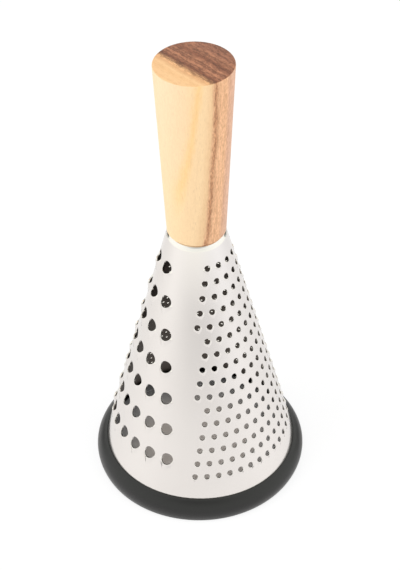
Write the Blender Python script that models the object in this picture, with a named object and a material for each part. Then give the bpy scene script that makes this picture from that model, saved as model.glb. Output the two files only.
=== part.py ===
"""Three-sided cone grater with a turned wooden handle and a rubber foot ring.

Metres, +Z up. The origin is on the grater's axis, on the surface that it stands on.
Azimuths are in degrees round the axis, 0 towards the front (-Y) and growing towards the left (-X).
"""
import math

import bmesh
import bpy
from mathutils import Vector
from mathutils.geometry import delaunay_2d_cdt, intersect_point_line

# Clearance between pieces that touch, and the distance under which mesh points are one point
SEAT_GAP = 0.0003
WELD = 0.000002

# Grater body: a sheet rolled into a cone whose mouth is turned in over a soft shoulder
SHEET_THICKNESS = 0.0006
FOOT_RADIUS = 0.05366
FOOT_HEIGHT = 0.003
MOUTH_RADIUS = 0.01547
MOUTH_HEIGHT = 0.1517
SHOULDER_RISE = 0.0031
SHOULDER_RADIUS = 0.004
FLANGE_WIDTH = 0.0031

# Where the three grating faces and the plain strips between them lie
FRONT_STRIP_AZIMUTH = 8.0
FACE_COUNT = 3
FACE_AZIMUTH_STEP = 360.0 / FACE_COUNT
COARSE_AZIMUTH = FRONT_STRIP_AZIMUTH + FACE_AZIMUTH_STEP / 2
FINE_AZIMUTH = COARSE_AZIMUTH - FACE_AZIMUTH_STEP
PIERCED_AZIMUTH = FINE_AZIMUTH - FACE_AZIMUTH_STEP

# Each kind of tooth below has its hole, its raised lip and tail, the web between holes in a row and
# the gap between rows. TOP_SHIFT is how many half pitches its top row is set aside from the middle,
# and LEAN is how far its columns run aside for each unit of length down the slope.

# Coarse teeth: round holes whose lower lips are pressed out over a tapering tail
COARSE_HOLE_RADIUS = 0.0031
COARSE_LIP_HEIGHT = 0.0015
COARSE_TAIL = 0.0062
COARSE_WEB = 0.00413
COARSE_ROW_GAP = 0.005775
COARSE_TOP_MARGIN = 0.0129
COARSE_BAND_SHARE = 0.77
COARSE_TOP_SHIFT = 1
COARSE_LEAN = -0.003
COARSE_CORNERS = 12
COARSE_LIP_DEGREES = 150.0

# Fine teeth: small holes with pointed lower lips
FINE_HOLE_RADIUS = 0.0015
FINE_LIP_HEIGHT = 0.0008
FINE_TAIL = 0.0022
FINE_WEB = 0.00315
FINE_ROW_GAP = 0.002895
FINE_TOP_MARGIN = 0.0093
FINE_BAND_SHARE = 0.924
FINE_TOP_SHIFT = 0
FINE_LEAN = 0.010
FINE_CORNERS = 6
FINE_LIP_DEGREES = 90.0

# Extra-fine piercings: three-cornered holes with one raised corner
PIERCED_HOLE_RADIUS = 0.0010
PIERCED_LIP_HEIGHT = 0.0006
PIERCED_TAIL = 0.0008
PIERCED_WEB = 0.0048
PIERCED_ROW_GAP = 0.0032
PIERCED_TOP_MARGIN = 0.0110
PIERCED_BAND_SHARE = 0.80
PIERCED_TOP_SHIFT = 0
PIERCED_LEAN = 0.0
PIERCED_CORNERS = 3
PIERCED_LIP_DEGREES = 90.0

# Plain border kept above the foot ring, and the pitch of plain sheet between the faces
FOOT_MARGIN = 0.0100
PLAIN_PITCH = 0.0140

# Handle: a straight taper, wider at its flat top, whose foot stands back from the body's mouth
HANDLE_LENGTH = 0.0949
HANDLE_TOP_RADIUS = 0.0191
HANDLE_SETBACK = 0.00069
HANDLE_TOP_EASE = 0.0006
HANDLE_FOOT_EASE = 0.0003

# Foot ring: half round outside, with a groove that the sheet's edge sits in
RING_HEIGHT = 0.012
RING_STANDOUT = 0.00344
RING_WIDEST_HEIGHT = 0.0039
RING_LIP = 0.0006
RING_INNER_WALL = 0.0024
RING_INNER_DROP = 0.003
RING_EASE = 0.0006

# Fixing inside the cone: plate, washer and wood screw
PLATE_THICKNESS = 0.0012
WASHER_WIDTH = 0.0027
WASHER_THICKNESS = 0.0008
SCREW_RADIUS = 0.0020
SCREW_HEAD_OVERHANG = 0.0020
SCREW_HEAD_HEIGHT = 0.0026
SCREW_REACH = 0.030
SCREW_POINT = 0.0040
SCREW_SLOT_WIDTH = 0.0010
SCREW_SLOT_DEPTH = 0.0012
BORE_SPARE_DEPTH = 0.0020

# Facets round the turned pieces, steps in their rounded profiles, and the angle that shades sharp
AROUND_FOOT = 48
AROUND_MOUTH = 30
AROUND_HANDLE = 40
AROUND_SCREW = 18
SHOULDER_STEPS = 3
BULGE_STEPS = 6
EASE_STEPS = 2
SHARP_DEGREES = 35.0

SCREW_HEAD_RADIUS = SCREW_RADIUS + SCREW_HEAD_OVERHANG

# The cone that the sheet's outer face lies on: its half angle, its apex and lengths along its slope
TAPER = (FOOT_RADIUS - MOUTH_RADIUS) / (MOUTH_HEIGHT - FOOT_HEIGHT)
HALF_ANGLE = math.atan(TAPER)
SLOPE_SIN = math.sin(HALF_ANGLE)
SLOPE_COS = math.cos(HALF_ANGLE)
APEX_HEIGHT = MOUTH_HEIGHT + MOUTH_RADIUS / TAPER
BODY_TOP = MOUTH_HEIGHT + SHOULDER_RISE
SHOULDER_HEIGHT = BODY_TOP - SHOULDER_RADIUS
SHOULDER_CENTRE = (APEX_HEIGHT - SHOULDER_HEIGHT) * TAPER - SHOULDER_RADIUS / SLOPE_COS
SHOULDER_START = SHOULDER_HEIGHT + SHOULDER_RADIUS * SLOPE_SIN


def cone_radius(height):
    """Radius of the sheet's outer face at a height."""
    return (APEX_HEIGHT - height) * TAPER


def slant(height):
    """Distance from the apex, down the slope, of a height on the sheet's outer face."""
    return (APEX_HEIGHT - height) / SLOPE_COS


SLANT_TOP = slant(SHOULDER_START)
SLANT_FOOT = slant(FOOT_HEIGHT)
SLANT_RING = slant(RING_HEIGHT)
FACE_HALF = math.radians(FACE_AZIMUTH_STEP / 2) * SLOPE_SIN
BLANK_HALF = FACE_HALF * FACE_COUNT


def clear_scene():
    """Remove every object that the file opens with."""
    for item in list(bpy.data.objects):
        bpy.data.objects.remove(item, do_unlink=True)


def material(name, colour, roughness, metallic):
    """Plain Principled material for one sub-part."""
    made = bpy.data.materials.new(name)
    made.use_nodes = True
    shader = made.node_tree.nodes["Principled BSDF"]
    shader.inputs["Base Color"].default_value = (*colour, 1.0)
    shader.inputs["Roughness"].default_value = roughness
    shader.inputs["Metallic"].default_value = metallic
    return made


def add_object(name, mesh_data, made_material):
    """Put a bmesh into the scene as a smooth-shaded object with faces out."""
    bmesh.ops.recalc_face_normals(mesh_data, faces=mesh_data.faces)
    if mesh_data.calc_volume(signed=True) < 0:
        bmesh.ops.reverse_faces(mesh_data, faces=mesh_data.faces)
    mesh = bpy.data.meshes.new(name)
    mesh_data.to_mesh(mesh)
    mesh_data.free()
    mesh.materials.append(made_material)
    mesh.shade_smooth()
    mesh.set_sharp_from_angle(angle=math.radians(SHARP_DEGREES))
    item = bpy.data.objects.new(name, mesh)
    bpy.context.collection.objects.link(item)
    return item


def around_axis(radius, height, azimuth_degrees):
    """Point at a radius, height and azimuth."""
    azimuth = math.radians(azimuth_degrees)
    return Vector((-radius * math.sin(azimuth), -radius * math.cos(azimuth), height))


def turned(profile, around, closed):
    """Revolve a profile of (radius, height) points about the axis into a bmesh."""
    made = bmesh.new()
    points = [made.verts.new(around_axis(r, z, FRONT_STRIP_AZIMUTH)) for r, z in profile]
    pairs = list(zip(points, points[1:]))
    if closed:
        pairs.append((points[-1], points[0]))
    edges = [made.edges.new(pair) for pair in pairs]
    bmesh.ops.spin(made, geom=points + edges, cent=(0, 0, 0), axis=(0, 0, 1),
                   angle=math.tau, steps=around, use_merge=True)
    bmesh.ops.remove_doubles(made, verts=made.verts, dist=WELD)
    return made


def arc(centre_radius, centre_height, radius, start_degrees, end_degrees, steps):
    """Points of an arc in a turned profile, 0 degrees outwards and 90 up."""
    points = []
    for step in range(steps + 1):
        angle = math.radians(start_degrees + (end_degrees - start_degrees) * step / steps)
        points.append((centre_radius + radius * math.cos(angle), centre_height + radius * math.sin(angle)))
    return points


class Tooth:
    """Shape of one kind of tooth, in the flat sheet, with y running down the slope."""

    def __init__(self, hole_radius, lip_height, tail, corners, lip_degrees, foot_shares):
        self.hole_radius = hole_radius
        self.lip_height = lip_height
        self.tail_tip = hole_radius + tail
        self.corners = corners
        self.lip_degrees = lip_degrees
        self.foot_shares = foot_shares

    def rim(self):
        """Corners of the hole, from its lowest one round, with the lip's corners pressed out."""
        points = []
        for corner in range(self.corners):
            angle = math.tau * corner / self.corners
            down = math.cos(angle)
            in_lip = down > math.cos(math.radians(self.lip_degrees / 2))
            lift = self.lip_height * down if in_lip else 0.0
            points.append((self.hole_radius * math.sin(angle), self.hole_radius * down, lift))
        return points

    def foot(self):
        """Points where the pressed-out tail runs back into the flat sheet."""
        radius = self.hole_radius
        right = [(radius * across, radius * down, 0.0) for across, down in self.foot_shares]
        left = [(-x, y, lift) for x, y, lift in reversed(right)]
        return right + [(0.0, self.tail_tip, 0.0)] + left


# Where the coarse tail's outline passes beside the hole, as shares of the hole's radius
COARSE_FOOT_SHARES = ((1.16, 0.35), (0.98, 1.20))
COARSE_TOOTH = Tooth(COARSE_HOLE_RADIUS, COARSE_LIP_HEIGHT, COARSE_TAIL,
                     COARSE_CORNERS, COARSE_LIP_DEGREES, COARSE_FOOT_SHARES)
FINE_TOOTH = Tooth(FINE_HOLE_RADIUS, FINE_LIP_HEIGHT, FINE_TAIL,
                   FINE_CORNERS, FINE_LIP_DEGREES, ())
PIERCED_TOOTH = Tooth(PIERCED_HOLE_RADIUS, PIERCED_LIP_HEIGHT, PIERCED_TAIL,
                      PIERCED_CORNERS, PIERCED_LIP_DEGREES, ())


def staggered_rows(tooth, web, row_gap, top_margin, band_share, top_shift, lean):
    """Centres of a staggered pattern, as (sideways distance, slant), as many as the face holds."""
    half_pitch = tooth.hole_radius + web / 2
    row_pitch = tooth.hole_radius + tooth.tail_tip + row_gap
    distance = SLANT_TOP + top_margin
    last = SLANT_RING - FOOT_MARGIN - tooth.hole_radius
    column = top_shift
    centres = []
    while distance <= last:
        reach = int(distance * FACE_HALF * band_share / half_pitch)
        widest = reach if (reach - column) % 2 == 0 else reach - 1
        aside = lean * (distance - last)
        centres += [(place * half_pitch + aside, distance) for place in range(-widest, widest + 1, 2)]
        distance += row_pitch
        column += 1
    return centres


def blank_outline():
    """Corners of the flat blank, as (flat angle, slant), all round."""
    side_steps = max(1, round((SLANT_FOOT - SLANT_TOP) / PLAIN_PITCH))
    side = [SLANT_FOOT + (SLANT_TOP - SLANT_FOOT) * step / side_steps for step in range(side_steps + 1)]
    foot = [(BLANK_HALF * (2 * step / AROUND_FOOT - 1), SLANT_FOOT) for step in range(AROUND_FOOT + 1)]
    mouth = [(BLANK_HALF * (1 - 2 * step / AROUND_MOUTH), SLANT_TOP) for step in range(AROUND_MOUTH + 1)]
    up = [(BLANK_HALF, distance) for distance in side[1:-1]]
    down = [(-BLANK_HALF, distance) for distance in reversed(side[1:-1])]
    return foot + up + mouth + down


def turned_flat(x, y, angle):
    """Turn a point of the flat blank about the apex, from a face's middle to its place."""
    return x * math.cos(angle) + y * math.sin(angle), y * math.cos(angle) - x * math.sin(angle)


def plain_points(spines):
    """Points of the unpunched sheet between the teeth, so that it follows the cone."""
    rows = max(1, round((SLANT_FOOT - SLANT_TOP) / PLAIN_PITCH))
    points = []
    for row in range(1, rows):
        distance = SLANT_TOP + (SLANT_FOOT - SLANT_TOP) * row / rows
        for column in range(1, AROUND_MOUTH):
            angle = BLANK_HALF * (2 * column / AROUND_MOUTH - 1)
            place = Vector((distance * math.sin(angle), distance * math.cos(angle)))
            if all(spine_distance(place, spine) > PLAIN_PITCH / 3 for spine in spines):
                points.append((place.x, place.y, 0.0))
    return points


def spine_distance(place, spine):
    """Distance in the flat blank from a point to the edge of a tooth, by its spine and radius."""
    centre, tip, radius = spine
    nearest, share = intersect_point_line(place, centre, tip)
    if share < 0.0:
        nearest = centre
    elif share > 1.0:
        nearest = tip
    return (place - Vector(nearest[:2])).length - radius


def punched_blank(faces):
    """Triangles of the flat blank: points (x, y, lift) and index triples."""
    points = [(d * math.sin(a), d * math.cos(a), 0.0) for a, d in blank_outline()]
    outline = list(range(len(points)))
    edges = list(zip(outline, outline[1:] + outline[:1]))
    hole_of = {}
    spines = []
    for tooth, centres, azimuth in faces:
        turn = math.radians(azimuth - FINE_AZIMUTH) * SLOPE_SIN
        for sideways, distance in centres:
            base = math.sqrt(distance ** 2 - sideways ** 2)
            start = len(points)
            points += [(*turned_flat(sideways + x, base + y, turn), lift) for x, y, lift in tooth.rim()]
            loop = list(range(start, len(points)))
            edges += zip(loop, loop[1:] + loop[:1])
            hole_of.update((index, len(spines)) for index in loop)
            start = len(points)
            foot = tooth.foot()
            points += [(*turned_flat(sideways + x, base + y, turn), lift) for x, y, lift in foot]
            edges += [(index, index + 1) for index in range(start, len(points) - 1)]
            edges.append((loop[0], start + len(foot) // 2))
            centre = Vector(turned_flat(sideways, base, turn))
            tip = Vector(turned_flat(sideways, base + tooth.tail_tip, turn))
            spines.append((centre, tip, tooth.hole_radius))
    points += plain_points(spines)
    flat = [Vector((x, y)) for x, y, lift in points]
    _, _, faces_found, origin, _, _ = delaunay_2d_cdt(flat, edges, [outline], 1, WELD / 2)
    source = [points[found[0]] for found in origin]
    holes = [hole_of.get(found[0]) for found in origin]
    kept = []
    for face in faces_found:
        owners = {holes[index] for index in face}
        if len(owners) > 1 or None in owners:
            kept.append(tuple(face))
    return source, kept


def on_cone(x, y, lift):
    """Wrap a point of the flat blank round the cone, lifted square to its face."""
    distance = math.hypot(x, y)
    turn = FINE_AZIMUTH + math.degrees(math.atan2(x, y) / SLOPE_SIN)
    radius = distance * SLOPE_SIN + lift * SLOPE_COS
    height = APEX_HEIGHT - distance * SLOPE_COS + lift * SLOPE_SIN
    return around_axis(radius, height, turn)


def add_sheet_vert(made, outside, inside):
    """Corner of the sheet's outer face that remembers its partner on the inner face."""
    vert = made.verts.new(outside)
    vert[made.verts.layers.float_vector["inside"]] = inside
    return vert


def add_blank(made, faces):
    """Outer face of the whole blank, wrapped round the cone until its sides meet."""
    points, triangles = punched_blank(faces)
    verts = []
    for x, y, lift in points:
        verts.append(add_sheet_vert(made, on_cone(x, y, lift), on_cone(x, y, lift - SHEET_THICKNESS)))
    for triangle in triangles:
        made.faces.new([verts[index] for index in triangle])


def shoulder_profile(depth):
    """The sheet's turned-in shoulder and flange at a depth in its wall."""
    radius = SHOULDER_RADIUS - depth
    start = math.degrees(HALF_ANGLE)
    profile = arc(SHOULDER_CENTRE, SHOULDER_HEIGHT, radius, start, 90.0, SHOULDER_STEPS)
    profile.append((SHOULDER_CENTRE - FLANGE_WIDTH, SHOULDER_HEIGHT + radius))
    return profile


def add_shoulder(made):
    """Carry the sheet on over its shoulder and in to the flange."""
    seam = FINE_AZIMUTH + 180.0
    turns = [seam + 360.0 * step / AROUND_MOUTH for step in range(AROUND_MOUTH)]
    rings = []
    for (r_out, z_out), (r_in, z_in) in zip(shoulder_profile(0.0), shoulder_profile(SHEET_THICKNESS)):
        ring = []
        for turn in turns:
            inside = around_axis(r_in, z_in, turn)
            ring.append(add_sheet_vert(made, around_axis(r_out, z_out, turn), inside))
        rings.append(ring)
    for lower, upper in zip(rings, rings[1:]):
        for step in range(AROUND_MOUTH):
            after = (step + 1) % AROUND_MOUTH
            made.faces.new((lower[after], lower[step], upper[step], upper[after]))


def grater_body():
    """The rolled and punched sheet, one closed body with a real wall."""
    coarse = staggered_rows(COARSE_TOOTH, COARSE_WEB, COARSE_ROW_GAP, COARSE_TOP_MARGIN,
                            COARSE_BAND_SHARE, COARSE_TOP_SHIFT, COARSE_LEAN)
    pierced = staggered_rows(PIERCED_TOOTH, PIERCED_WEB, PIERCED_ROW_GAP, PIERCED_TOP_MARGIN,
                             PIERCED_BAND_SHARE, PIERCED_TOP_SHIFT, PIERCED_LEAN)
    fine = staggered_rows(FINE_TOOTH, FINE_WEB, FINE_ROW_GAP, FINE_TOP_MARGIN,
                          FINE_BAND_SHARE, FINE_TOP_SHIFT, FINE_LEAN)
    faces = [
        (COARSE_TOOTH, coarse, COARSE_AZIMUTH),
        (PIERCED_TOOTH, pierced, PIERCED_AZIMUTH),
        (FINE_TOOTH, fine, FINE_AZIMUTH),
    ]
    made = bmesh.new()
    made.verts.layers.float_vector.new("inside")
    add_blank(made, faces)
    add_shoulder(made)
    bmesh.ops.remove_doubles(made, verts=made.verts, dist=WELD)
    give_wall(made)
    return made


def give_wall(made):
    """Add the sheet's inner face, and close its cut edges at the holes, foot and mouth."""
    partner = made.verts.layers.float_vector["inside"]
    outer_faces = list(made.faces)
    open_loops = [edge.link_loops[0] for edge in made.edges if edge.is_boundary]
    cut_edges = [(loop.vert, loop.link_loop_next.vert) for loop in open_loops]
    inner = {vert: made.verts.new(vert[partner]) for vert in list(made.verts)}
    for face in outer_faces:
        made.faces.new([inner[vert] for vert in reversed(face.verts)])
    for first, second in cut_edges:
        made.faces.new((second, first, inner[first], inner[second]))


def handle_bottom():
    """Height of the handle's foot, seated on the body's flange."""
    return BODY_TOP + SEAT_GAP


def handle():
    """Turned handle with a blind bore for the screw."""
    low = handle_bottom()
    high = low + HANDLE_LENGTH
    foot_radius = MOUTH_RADIUS - HANDLE_SETBACK
    bore_radius = SCREW_RADIUS + SEAT_GAP
    bore_top = low + SCREW_REACH + BORE_SPARE_DEPTH
    ease = HANDLE_TOP_EASE
    profile = [
        (0.0, bore_top + bore_radius),
        (bore_radius, bore_top),
        (bore_radius, low),
        (foot_radius - HANDLE_FOOT_EASE, low),
        (foot_radius, low + HANDLE_FOOT_EASE),
    ]
    profile += arc(HANDLE_TOP_RADIUS - ease, high - ease, ease, 0.0, 90.0, EASE_STEPS)
    profile.append((0.0, high))
    return turned(profile, AROUND_HANDLE, closed=False)


def ring_outline():
    """Bulge of the ring's outside, an arc through its lip and its widest point."""
    lip = cone_radius(RING_HEIGHT) + SEAT_GAP / SLOPE_COS + RING_LIP
    widest = FOOT_RADIUS + RING_STANDOUT
    rise = RING_HEIGHT - RING_WIDEST_HEIGHT
    run = widest - lip
    bulge = (run ** 2 + rise ** 2) / (2 * run)
    centre = widest - bulge
    bottom = -math.degrees(math.asin((RING_WIDEST_HEIGHT - RING_EASE) / bulge))
    top = math.degrees(math.asin(rise / bulge))
    return arc(centre, RING_WIDEST_HEIGHT, bulge, bottom, top, BULGE_STEPS)


def base_ring():
    """Rubber ring whose groove takes the sheet's lower edge."""
    gap = SEAT_GAP / SLOPE_COS
    wall = SHEET_THICKNESS / SLOPE_COS
    groove_floor = FOOT_HEIGHT - SEAT_GAP
    inside = RING_INNER_WALL + gap + wall
    inner_top = RING_HEIGHT - RING_INNER_DROP
    outline = ring_outline()
    lowest_radius = outline[0][0]
    profile = [(lowest_radius - RING_EASE, 0.0)] + outline
    profile += [
        (cone_radius(RING_HEIGHT) + gap, RING_HEIGHT),
        (cone_radius(groove_floor) + gap, groove_floor),
        (cone_radius(groove_floor) - wall - gap, groove_floor),
        (cone_radius(inner_top) - wall - gap, inner_top),
        (cone_radius(inner_top) - inside + RING_EASE, inner_top),
        (cone_radius(inner_top - RING_EASE) - inside, inner_top - RING_EASE),
        (cone_radius(RING_EASE) - inside, RING_EASE),
        (cone_radius(0.0) - inside + RING_EASE, 0.0),
    ]
    return turned(profile, AROUND_FOOT, closed=True)


def plate_top():
    """Height of the clamp plate's upper face, under the body's flange."""
    return BODY_TOP - SHEET_THICKNESS - SEAT_GAP


def clamp_plate():
    """Round plate that the screw pulls up against the flange."""
    high = plate_top()
    hole = SCREW_RADIUS + SEAT_GAP
    profile = [
        (hole, high - PLATE_THICKNESS),
        (SHOULDER_CENTRE, high - PLATE_THICKNESS),
        (SHOULDER_CENTRE, high),
        (hole, high),
    ]
    return turned(profile, AROUND_MOUTH, closed=True)


def washer_top():
    """Height of the washer's upper face, under the clamp plate."""
    return plate_top() - PLATE_THICKNESS - SEAT_GAP


def screw_washer():
    """Flat washer under the clamp plate."""
    high = washer_top()
    hole = SCREW_RADIUS + SEAT_GAP
    profile = [
        (hole, high - WASHER_THICKNESS),
        (hole + WASHER_WIDTH, high - WASHER_THICKNESS),
        (hole + WASHER_WIDTH, high),
        (hole, high),
    ]
    return turned(profile, AROUND_SCREW, closed=True)


def handle_screw():
    """Wood screw with a domed head below the washer and a point up in the handle's bore."""
    seat = washer_top() - WASHER_THICKNESS - SEAT_GAP
    tip = handle_bottom() + SCREW_REACH
    dome = SCREW_HEAD_HEIGHT / 2
    profile = [
        (0.0, seat - SCREW_HEAD_HEIGHT),
        (SCREW_HEAD_RADIUS - dome, seat - SCREW_HEAD_HEIGHT),
        (SCREW_HEAD_RADIUS, seat - dome),
        (SCREW_HEAD_RADIUS, seat),
        (SCREW_RADIUS, seat),
        (SCREW_RADIUS, tip - SCREW_POINT),
        (0.0, tip),
    ]
    return turned(profile, AROUND_SCREW, closed=False)


def cross_recess(screw, low):
    """Cut the driver's cross into the screw's head."""
    cutter_mesh = bmesh.new()
    length = SCREW_HEAD_RADIUS
    depth = 2 * SCREW_SLOT_DEPTH
    for long_x, long_y in ((length, SCREW_SLOT_WIDTH), (SCREW_SLOT_WIDTH, length)):
        bar = bmesh.ops.create_cube(cutter_mesh, size=1.0)["verts"]
        bmesh.ops.scale(cutter_mesh, vec=(long_x, long_y, depth), verts=bar)
        bmesh.ops.translate(cutter_mesh, vec=(0, 0, low), verts=bar)
    mesh = bpy.data.meshes.new("cross_cutter")
    cutter_mesh.to_mesh(mesh)
    cutter_mesh.free()
    cutter = bpy.data.objects.new("cross_cutter", mesh)
    bpy.context.collection.objects.link(cutter)
    cutter.hide_render = True
    cutter.display_type = "WIRE"
    cut = screw.modifiers.new("cross_recess", "BOOLEAN")
    cut.operation = "DIFFERENCE"
    cut.use_self = True
    cut.object = cutter


def build():
    """Make every sub-part in its place."""
    clear_scene()
    steel = material("stainless_sheet", (0.78, 0.77, 0.75), 0.22, 1.0)
    wood = material("acacia_wood", (0.80, 0.55, 0.30), 0.55, 0.0)
    rubber = material("black_rubber", (0.035, 0.035, 0.035), 0.6, 0.0)
    plate_steel = material("plate_steel", (0.62, 0.62, 0.62), 0.35, 1.0)
    zinc = material("zinc_plated_steel", (0.66, 0.66, 0.64), 0.3, 1.0)
    washer_zinc = material("washer_zinc", (0.6, 0.6, 0.58), 0.35, 1.0)

    add_object("grater_body", grater_body(), steel)
    add_object("handle", handle(), wood)
    add_object("base_ring", base_ring(), rubber)
    add_object("clamp_plate", clamp_plate(), plate_steel)
    add_object("screw_washer", screw_washer(), washer_zinc)
    screw = add_object("handle_screw", handle_screw(), zinc)
    cross_recess(screw, washer_top() - WASHER_THICKNESS - SEAT_GAP - SCREW_HEAD_HEIGHT)


build()
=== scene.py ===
"""Looks of the three-sided cone grater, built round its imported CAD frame.

Metres, +Z up, in the part's own frame: the origin is on the grater's axis, on the floor. Azimuths are
in degrees round the axis, 0 towards the front (-Y) and growing towards the left (-X). The sheet is
made flat, as a blank whose y runs down the slope from the cone's apex, and wrapped round the cone.
"""
import math
from collections import namedtuple

import bmesh
import bpy
import numpy as np
from mathutils import Matrix, Vector
from mathutils.geometry import delaunay_2d_cdt


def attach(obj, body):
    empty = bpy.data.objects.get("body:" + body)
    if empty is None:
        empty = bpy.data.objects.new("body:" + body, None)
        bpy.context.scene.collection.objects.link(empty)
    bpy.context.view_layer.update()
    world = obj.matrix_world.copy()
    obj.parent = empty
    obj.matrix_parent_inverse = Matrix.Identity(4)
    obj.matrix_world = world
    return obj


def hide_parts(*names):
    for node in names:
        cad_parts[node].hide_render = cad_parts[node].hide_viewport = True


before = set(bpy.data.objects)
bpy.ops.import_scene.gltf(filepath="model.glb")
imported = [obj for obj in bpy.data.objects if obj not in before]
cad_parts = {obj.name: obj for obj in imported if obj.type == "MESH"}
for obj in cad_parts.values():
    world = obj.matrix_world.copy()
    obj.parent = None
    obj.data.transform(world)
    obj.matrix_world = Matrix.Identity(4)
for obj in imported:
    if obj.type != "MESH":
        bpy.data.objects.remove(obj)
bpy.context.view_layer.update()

# Clearance between pieces that touch, as in the CAD
SEAT_GAP = 0.0003

# Grater body, as in the CAD
SHEET_THICKNESS = 0.0006
FOOT_RADIUS = 0.05366
FOOT_HEIGHT = 0.003
MOUTH_RADIUS = 0.01547
MOUTH_HEIGHT = 0.1517
SHOULDER_RISE = 0.0031
SHOULDER_RADIUS = 0.004
FLANGE_WIDTH = 0.0031
FACE_COUNT = 3
FOOT_MARGIN = 0.01

# Pattern of each face: every second row is shifted by half_pitch, the top one too if top_shift is 1
Pattern = namedtuple("Pattern", "azimuth half_pitch row_pitch top_margin band_share top_shift lean")
COARSE_PATTERN = Pattern(azimuth=68.0, half_pitch=0.005165, row_pitch=0.018175, top_margin=0.0129,
                         band_share=0.77, top_shift=1, lean=-0.003)
FINE_PATTERN = Pattern(azimuth=-52.0, half_pitch=0.003075, row_pitch=0.008095, top_margin=0.0093,
                       band_share=0.924, top_shift=0, lean=0.010)
PIERCED_PATTERN = Pattern(azimuth=-172.0, half_pitch=0.0027, row_pitch=0.00265, top_margin=0.0110,
                          band_share=0.78, top_shift=0, lean=0.0)

# Teeth: power that gathers their rings at the hole, and turns of the hole's eased edge
TAIL_SPREAD = 1.25
EDGE_TURNS = (0.0, 45.0, 90.0)

# Step in hole radii over which a tooth's slope is measured
SLOPE_STEP_SHARE = 0.005

# Rim of a pierced hole: its torn points, and the share of its height left between them
BURR_POINTS = 3
BURR_LOW_SHARE = 0.45

# Handle, as in the CAD, with the bore that holds the screw
HANDLE_LENGTH = 0.0949
HANDLE_TOP_RADIUS = 0.0191
HANDLE_SETBACK = 0.00069
HANDLE_TOP_EASE = 0.0006
HANDLE_FOOT_EASE = 0.0003
BORE_RADIUS = 0.0023
BORE_DEPTH = 0.032

# Foot ring, as in the CAD but for its standout and clearance
RING_HEIGHT = 0.012
RING_STANDOUT = 0.0036
RING_WIDEST_HEIGHT = 0.0039
RING_LIP = 0.0006
RING_INNER_WALL = 0.0024
RING_INNER_DROP = 0.003
RING_EASE = 0.0006
RING_EASE_TURN = -20.0
RING_CLEARANCE = 0.00012

# The soft ring is pressed on unevenly: where it is highest, share of height lost opposite, power of the fall
RING_HIGH_AZIMUTH = 75.0
RING_SINK_SHARE = 0.18
RING_SINK_CURVE = 2.0

# Steps round and along the meshes
AROUND_FOOT = 144
AROUND_MOUTH = 120
AROUND_HANDLE = 128
SHOULDER_STEPS = 8
HANDLE_FOOT_STEPS = 3
HANDLE_TOP_STEPS = 5
RING_BULGE_STEPS = 18
RING_EASE_STEPS = 4

# Points of the plain sheet: pitch, clearance from the teeth, and how many near teeth are looked at
PLAIN_PITCH = 0.0035
PLAIN_CLEARANCE = PLAIN_PITCH / 4
NEAR_TEETH = 6

# Turned meshes: angle from which their edges stay sharp, and distance under which their points are one
SHARP_DEGREES = 32.0
TURNED_WELD = 0.000003

# Flat blank: the same distance, and the output type that keeps the triangles inside its border
BLANK_WELD = 0.0000003
KEEP_INSIDE = 1

# The photograph's camera: its place, its turn and the focal length for a 36 mm sensor
CAMERA_PLACE = (-0.00108, -0.5681, 0.6099)
CAMERA_YAW = 0.24
CAMERA_PITCH = 40.92
CAMERA_ROLL = -0.86
CAMERA_LENS = 92.98

# What follows from the sizes above
TAPER = (FOOT_RADIUS - MOUTH_RADIUS) / (MOUTH_HEIGHT - FOOT_HEIGHT)
HALF_ANGLE = math.atan(TAPER)
SLOPE_SIN = math.sin(HALF_ANGLE)
SLOPE_COS = math.cos(HALF_ANGLE)
APEX_HEIGHT = MOUTH_HEIGHT + MOUTH_RADIUS / TAPER
BODY_TOP = MOUTH_HEIGHT + SHOULDER_RISE
HANDLE_FOOT = BODY_TOP + SEAT_GAP
HANDLE_TOP = HANDLE_FOOT + HANDLE_LENGTH
SHOULDER_HEIGHT = BODY_TOP - SHOULDER_RADIUS
SHOULDER_CENTRE = (APEX_HEIGHT - SHOULDER_HEIGHT) * TAPER - SHOULDER_RADIUS / SLOPE_COS
SHOULDER_START = SHOULDER_HEIGHT + SHOULDER_RADIUS * SLOPE_SIN
SLANT_TOP = (APEX_HEIGHT - SHOULDER_START) / SLOPE_COS
SLANT_FOOT = (APEX_HEIGHT - FOOT_HEIGHT) / SLOPE_COS
SLANT_RING = (APEX_HEIGHT - RING_HEIGHT) / SLOPE_COS
BLANK_HALF = math.pi * SLOPE_SIN
FACE_HALF = BLANK_HALF / FACE_COUNT

# Steel surfaces: bright and dull colour, and roughness
SATIN_STEEL = ((0.90, 0.86, 0.828), (0.86, 0.82, 0.788), 0.14)
# The sheet's inner face: the same steel, rougher, with its colour darkened as painted shade for the dim
# inside of the cone
INNER_STEEL_PAINTED_SHADE = ((0.118, 0.097, 0.082), (0.092, 0.076, 0.064), 0.42)
PLATE_STEEL = ((0.66, 0.66, 0.66), (0.56, 0.56, 0.56), 0.34)
WASHER_ZINC = ((0.64, 0.64, 0.62), (0.54, 0.54, 0.52), 0.34)
SCREW_ZINC = ((0.70, 0.70, 0.67), (0.60, 0.60, 0.58), 0.30)

# Steel's noises: scale, detail, roughness
STEEL_GRAIN = (900.0, 4.0, 0.6)
STEEL_CLOUD = (38.0, 3.0, 0.55)
STEEL_FLECK = (700.0, 2.0, 0.5)

# Steel: shares that draw its grain out, weights of cloud and grain, spread of its roughness, and its bump
STEEL_GRAIN_SHARES = (0.30, 0.35)
STEEL_WEIGHTS = (0.6, 0.4)
STEEL_ROUGHNESS_SHARES = (0.8, 1.25)
STEEL_BUMP = (0.10, 0.00002)

# Border of sapwood and heartwood: directions across and along it, its bend, waves, and rags on side and top
BORDER_ACROSS = (0.727, 0.685)
BORDER_ALONG = (-0.685, 0.727)
BORDER_BEND = 0.28
BORDER_WAVE = 0.0024
BORDER_RAGS = (0.0032, 0.0011)

# Dark line beside the border
LINE_DEPTH = -0.00355
LINE_FADE = (0.0005, 0.0014)
LINE_SHARE = 0.75

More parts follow.
